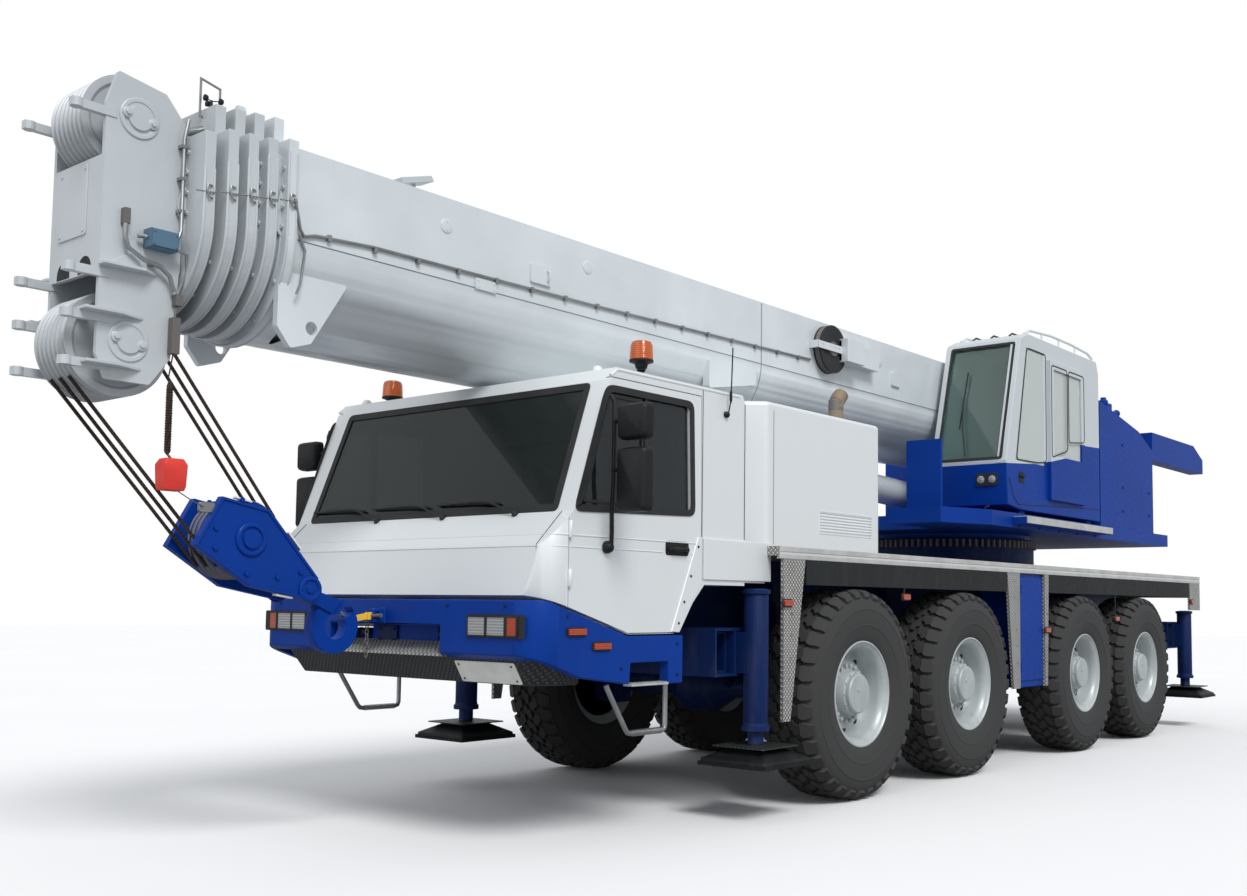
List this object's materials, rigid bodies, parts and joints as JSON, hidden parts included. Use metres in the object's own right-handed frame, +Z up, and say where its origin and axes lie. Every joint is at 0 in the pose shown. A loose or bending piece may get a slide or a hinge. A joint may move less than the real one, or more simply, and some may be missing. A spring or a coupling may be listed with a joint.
{
  "type": "four-axle all-terrain mobile crane",
  "caption": "Mobile crane: all-terrain carrier on large single tyres, white driver cab, blue slewing superstructure with its own cab, and a grey telescopic boom stowed forward.",
  "frame": {"origin": "on the ground under the middle of the stowed crane's length and width", "axes": "+X forward, +Y to the driver's left, +Z up"},
  "size_m": [13.3, 3.18, 3.9348],
  "materials": {
    "boom_grey": "silver-grey paint, satin",
    "carrier_blue": "deep blue gloss paint",
    "cab_white": "white gloss paint",
    "checker_plate": "bare checker plate",
    "black_skirt": "dull black paint",
    "tinted_glass": "tinted safety glass",
    "interior": "dark grey trim",
    "engine_iron": "dull casting",
    "lamp_lens": "moulded lenses",
    "mirror_black": "black moulding",
    "tyre_rubber": "rubber",
    "rod_chrome": "ground and plated",
    "rope_steel": "greased wire rope",
    "sheave_grey": "grey paint, worn grooves"
  },
  "bodies": {
    "carrier": {"carrier_frame": "carrier_blue", "axle_beams": "carrier_blue", "deck": "checker_plate", "side_skirts": "black_skirt", "lockers": "carrier_blue", "front_bumper": "carrier_blue", "front_steps": "checker_plate", "lamps": "lamp_lens", "cab_shell": "cab_white", "cab_glass": "tinted_glass", "cab_interior": "interior", "engine_cover": "cab_white", "engine": "engine_iron"},
    "knuckle_1_left": {"knuckle_1_left": "carrier_blue"},
    "wheel_1_left": {"wheel_1_left": "tyre_rubber"},
    "knuckle_1_right": {"knuckle_1_right": "carrier_blue"},
    "wheel_1_right": {"wheel_1_right": "tyre_rubber"},
    "knuckle_2_left": {"knuckle_2_left": "carrier_blue"},
    "wheel_2_left": {"wheel_2_left": "tyre_rubber"},
    "knuckle_2_right": {"knuckle_2_right": "carrier_blue"},
    "wheel_2_right": {"wheel_2_right": "tyre_rubber"},
    "knuckle_3_left": {"knuckle_3_left": "carrier_blue"},
    "wheel_3_left": {"wheel_3_left": "tyre_rubber"},
    "knuckle_3_right": {"knuckle_3_right": "carrier_blue"},
    "wheel_3_right": {"wheel_3_right": "tyre_rubber"},
    "knuckle_4_left": {"knuckle_4_left": "carrier_blue"},
    "wheel_4_left": {"wheel_4_left": "tyre_rubber"},
    "knuckle_4_right": {"knuckle_4_right": "carrier_blue"},
    "wheel_4_right": {"wheel_4_right": "tyre_rubber"},
    "door_left": {"cab_door_left": "cab_white", "mirror_left": "mirror_black"},
    "door_right": {"cab_door_right": "cab_white", "mirror_right": "mirror_black"},
    "outrigger_beam_front_left": {"outrigger_beam_front_left": "carrier_blue"},
    "jack_front_left": {"jack_front_left": "carrier_blue"},
    "outrigger_beam_front_right": {"outrigger_beam_front_right": "carrier_blue"},
    "jack_front_right": {"jack_front_right": "carrier_blue"},
    "outrigger_beam_rear_left": {"outrigger_beam_rear_left": "carrier_blue"},
    "jack_rear_left": {"jack_rear_left": "carrier_blue"},
    "outrigger_beam_rear_right": {"outrigger_beam_rear_right": "carrier_blue"},
    "jack_rear_right": {"jack_rear_right": "carrier_blue"},
    "superstructure": {"slew_platform": "carrier_blue", "rear_body": "carrier_blue", "winch": "rope_steel", "crane_cab_shell": "carrier_blue", "crane_cab_glass": "tinted_glass", "crane_cab_seat": "interior"},
    "crane_cab_door": {"crane_cab_door": "cab_white"},
    "boom_base": {"boom_base": "boom_grey"},
    "luff_barrel": {"luff_barrel": "carrier_blue"},
    "luff_rod": {"luff_rod": "rod_chrome"},
    "boom_section_1": {"boom_section_1": "boom_grey"},
    "boom_section_2": {"boom_section_2": "boom_grey"},
    "boom_section_3": {"boom_section_3": "boom_grey"},
    "boom_section_4": {"boom_section_4": "boom_grey"},
    "boom_section_5": {"boom_section_5": "boom_grey", "head_sheaves": "sheave_grey"},
    "hook_block": {"hook_block": "carrier_blue", "rope_falls": "rope_steel"}
  },
  "joints": [
    {"name": "steer_1_left", "type": "hinge", "parent": "carrier", "child": "knuckle_1_left", "pos_m": [1.62, 1, 0.725], "axis": [0, 0, 1], "range_deg": [-30, 30]},
    {"name": "roll_1_left", "type": "hinge", "parent": "knuckle_1_left", "child": "wheel_1_left", "pos_m": [1.62, 1.205, 0.725], "axis": [0, 1, 0], "continuous": true},
    {"name": "steer_1_right", "type": "hinge", "parent": "carrier", "child": "knuckle_1_right", "pos_m": [1.62, -1, 0.725], "axis": [0, 0, 1], "range_deg": [-30, 30]},
    {"name": "roll_1_right", "type": "hinge", "parent": "knuckle_1_right", "child": "wheel_1_right", "pos_m": [1.62, -1.205, 0.725], "axis": [0, 1, 0], "continuous": true},
    {"name": "steer_2_left", "type": "hinge", "parent": "carrier", "child": "knuckle_2_left", "pos_m": [-0.03, 1, 0.725], "axis": [0, 0, 1], "range_deg": [-13.8, 13.8]},
    {"name": "roll_2_left", "type": "hinge", "parent": "knuckle_2_left", "child": "wheel_2_left", "pos_m": [-0.03, 1.205, 0.725], "axis": [0, 1, 0], "continuous": true},
    {"name": "steer_2_right", "type": "hinge", "parent": "carrier", "child": "knuckle_2_right", "pos_m": [-0.03, -1, 0.725], "axis": [0, 0, 1], "range_deg": [-13.8, 13.8]},
    {"name": "roll_2_right", "type": "hinge", "parent": "knuckle_2_right", "child": "wheel_2_right", "pos_m": [-0.03, -1.205, 0.725], "axis": [0, 1, 0], "continuous": true},
    {"name": "steer_3_left", "type": "hinge", "parent": "carrier", "child": "knuckle_3_left", "pos_m": [-2.43, 1, 0.725], "axis": [0, 0, 1], "range_deg": [-13.8, 13.8]},
    {"name": "roll_3_left", "type": "hinge", "parent": "knuckle_3_left", "child": "wheel_3_left", "pos_m": [-2.43, 1.205, 0.725], "axis": [0, 1, 0], "continuous": true},
    {"name": "steer_3_right", "type": "hinge", "parent": "carrier", "child": "knuckle_3_right", "pos_m": [-2.43, -1, 0.725], "axis": [0, 0, 1], "range_deg": [-13.8, 13.8]},
    {"name": "roll_3_right", "type": "hinge", "parent": "knuckle_3_right", "child": "wheel_3_right", "pos_m": [-2.43, -1.205, 0.725], "axis": [0, 1, 0], "continuous": true},
    {"name": "steer_4_left", "type": "hinge", "parent": "carrier", "child": "knuckle_4_left", "pos_m": [-4.08, 1, 0.725], "axis": [0, 0, 1], "range_deg": [-30, 30]},
    {"name": "roll_4_left", "type": "hinge", "parent": "knuckle_4_left", "child": "wheel_4_left", "pos_m": [-4.08, 1.205, 0.725], "axis": [0, 1, 0], "continuous": true},
    {"name": "steer_4_right", "type": "hinge", "parent": "carrier", "child": "knuckle_4_right", "pos_m": [-4.08, -1, 0.725], "axis": [0, 0, 1], "range_deg": [-30, 30]},
    {"name": "roll_4_right", "type": "hinge", "parent": "knuckle_4_right", "child": "wheel_4_right", "pos_m": [-4.08, -1.205, 0.725], "axis": [0, 1, 0], "continuous": true},
    {"name": "door_left_swing", "type": "hinge", "parent": "carrier", "child": "door_left", "pos_m": [4.4, 1.26, 1.8], "axis": [0, 0, -1], "range_deg": [0, 70]},
    {"name": "door_right_swing", "type": "hinge", "parent": "carrier", "child": "door_right", "pos_m": [4.4, -1.26, 1.8], "axis": [0, 0, 1], "range_deg": [0, 70]},
    {"name": "beam_front_left_slide", "type": "slide", "parent": "carrier", "child": "outrigger_beam_front_left", "axis": [0, 1, 0], "range_m": [0, 2]},
    {"name": "jack_front_left_slide", "type": "slide", "parent": "outrigger_beam_front_left", "child": "jack_front_left", "axis": [0, 0, -1], "range_m": [0, 0.6]},
    {"name": "beam_front_right_slide", "type": "slide", "parent": "carrier", "child": "outrigger_beam_front_right", "axis": [0, -1, 0], "range_m": [0, 2]},
    {"name": "jack_front_right_slide", "type": "slide", "parent": "outrigger_beam_front_right", "child": "jack_front_right", "axis": [0, 0, -1], "range_m": [0, 0.6]},
    {"name": "beam_rear_left_slide", "type": "slide", "parent": "carrier", "child": "outrigger_beam_rear_left", "axis": [0, 1, 0], "range_m": [0, 2]},
    {"name": "jack_rear_left_slide", "type": "slide", "parent": "outrigger_beam_rear_left", "child": "jack_rear_left", "axis": [0, 0, -1], "range_m": [0, 0.6]},
    {"name": "beam_rear_right_slide", "type": "slide", "parent": "carrier", "child": "outrigger_beam_rear_right", "axis": [0, -1, 0], "range_m": [0, 2]},
    {"name": "jack_rear_right_slide", "type": "slide", "parent": "outrigger_beam_rear_right", "child": "jack_rear_right", "axis": [0, 0, -1], "range_m": [0, 0.6]},
    {"name": "slew", "type": "hinge", "parent": "carrier", "child": "superstructure", "pos_m": [-2.38, 0, 2], "axis": [0, 0, 1], "continuous": true},
    {"name": "crane_cab_door_slide", "type": "slide", "parent": "superstructure", "child": "crane_cab_door", "axis": [-1, 0, 0], "range_m": [0, 0.78]},
    {"name": "luff", "type": "hinge", "parent": "superstructure", "child": "boom_base", "pos_m": [-4.83, 0, 3], "axis": [0, -1, 0], "range_deg": [0, 82]},
    {"name": "luff_barrel_tilt", "type": "hinge", "parent": "superstructure", "child": "luff_barrel", "pos_m": [-3.23, 0, 2.32], "axis": [0, -1, 0], "range_deg": [0, 89.77]},
    {"name": "luff_rod_slide", "type": "slide", "parent": "luff_barrel", "child": "luff_rod", "axis": [0.999, 0, 0.045], "range_m": [0, 2.161]},
    {"name": "telescope_1", "type": "slide", "parent": "boom_base", "child": "boom_section_1", "axis": [1, 0, 0], "range_m": [0, 7.6]},
    {"name": "telescope_2", "type": "slide", "parent": "boom_section_1", "child": "boom_section_2", "axis": [1, 0, 0], "range_m": [0, 7.6]},
    {"name": "telescope_3", "type": "slide", "parent": "boom_section_2", "child": "boom_section_3", "axis": [1, 0, 0], "range_m": [0, 7.6]},
    {"name": "telescope_4", "type": "slide", "parent": "boom_section_3", "child": "boom_section_4", "axis": [1, 0, 0], "range_m": [0, 7.6]},
    {"name": "telescope_5", "type": "slide", "parent": "boom_section_4", "child": "boom_section_5", "axis": [1, 0, 0], "range_m": [0, 7.6]},
    {"name": "hook_swing", "type": "hinge", "parent": "boom_section_5", "child": "hook_block", "pos_m": [6.34, 0, 2.53], "axis": [0, -1, 0], "range_deg": [0, 38]}
  ],
  "couplings": [
    {"joint": "steer_1_right", "follows": "steer_1_left", "ratio": 1},
    {"joint": "steer_2_left", "follows": "steer_1_left", "ratio": 0.46},
    {"joint": "steer_2_right", "follows": "steer_1_left", "ratio": 0.46},
    {"joint": "steer_3_left", "follows": "steer_1_left", "ratio": -0.46},
    {"joint": "steer_3_right", "follows": "steer_1_left", "ratio": -0.46},
    {"joint": "steer_4_left", "follows": "steer_1_left", "ratio": -1},
    {"joint": "steer_4_right", "follows": "steer_1_left", "ratio": -1},
    {"joint": "luff_barrel_tilt", "follows": "luff", "ratio": 1.0887},
    {"joint": "luff_rod_slide", "follows": "luff", "m_per_rad": 1.503}
  ]
}
